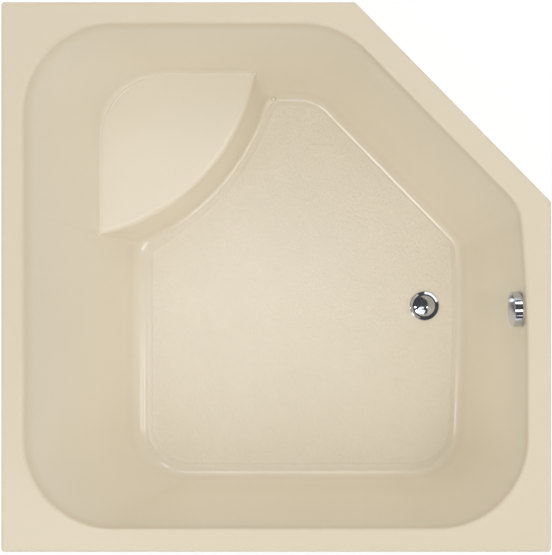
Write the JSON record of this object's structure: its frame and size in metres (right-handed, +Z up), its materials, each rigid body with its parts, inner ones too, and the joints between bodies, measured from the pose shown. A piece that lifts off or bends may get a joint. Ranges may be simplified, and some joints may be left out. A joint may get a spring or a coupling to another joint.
{
  "type": "corner soaking tub",
  "caption": "Corner soaking tub in biscuit acrylic with a cut-off corner, a moulded corner seat, a chrome lift-cap drain worked by a chrome overflow knob, and its wooden base.",
  "frame": {"origin": "on the floor of the room, under the middle of the square that the rim fills", "axes": "+Z up, +X towards the drain and overflow side, +Y towards the side with the seat"},
  "size_m": [1.219, 1.219, 0.533],
  "materials": {
    "acrylic": "gloss",
    "glass_fibre": "matte",
    "board": "matte",
    "chrome": "polished",
    "rubber": "matte",
    "pipe": "satin",
    "brass": "satin",
    "steel": "satin"
  },
  "bodies": {
    "tub": {"tub_shell": "acrylic", "glass_fibre_backing": "glass_fibre", "rim_board_left": "board", "rim_board_back": "board", "rim_board_cut": "board", "rim_board_right": "board", "rim_board_front": "board", "base_panel": "board", "base_rails": "board", "seat_board": "board", "seat_posts": "board", "drain_flange": "chrome", "flange_seal": "rubber", "shoe_gasket": "rubber", "drain_shoe": "pipe", "control_cable": "rubber", "drain_tube": "pipe", "waste_fitting": "pipe", "outlet_tube": "pipe", "overflow_tube": "pipe", "overflow_body": "pipe", "overflow_gasket": "rubber", "overflow_plate": "chrome", "plate_screws": "steel", "slip_nuts": "pipe", "slip_washers": "rubber"},
    "knob": {"overflow_knob": "chrome", "knob_spindle": "brass", "knob_screw": "steel"},
    "yoke": {"cable_yoke": "steel"},
    "fork": {"cable_fork": "steel"},
    "lever": {"lift_lever": "steel", "lever_spindle": "brass", "lever_crank": "steel", "crank_clip": "steel"},
    "stopper": {"stopper_cap": "chrome", "stopper_seal": "rubber", "stopper_stem": "brass"}
  },
  "joints": [
    {"name": "knob_turn", "type": "hinge", "parent": "tub", "child": "knob", "pos_m": [0.54852, -0.072, 0.481], "axis": [0.9963, 0.0352, -0.0785], "range_deg": [0, 70]},
    {"name": "yoke_slide", "type": "slide", "parent": "tub", "child": "yoke", "axis": [0.0353, -0.9994, 0], "range_m": [0, 0.00746]},
    {"name": "fork_slide", "type": "slide", "parent": "tub", "child": "fork", "axis": [-1, 0, 0], "range_m": [0, 0.00746]},
    {"name": "lever_swing", "type": "hinge", "parent": "tub", "child": "lever", "pos_m": [0.39446, -0.072, 0.035], "axis": [0, 1, 0], "range_deg": [0, 24]},
    {"name": "stopper_lift", "type": "slide", "parent": "tub", "child": "stopper", "axis": [0, 0, 1], "range_m": [0, 0.0104]}
  ],
  "couplings": [
    {"joint": "yoke_slide", "follows": "knob_turn", "m_per_rad": 0.0061032},
    {"joint": "fork_slide", "follows": "knob_turn", "m_per_rad": 0.0061032},
    {"joint": "lever_swing", "follows": "knob_turn", "ratio": 0.34286},
    {"joint": "stopper_lift", "follows": "knob_turn", "m_per_rad": 0.0085125}
  ]
}
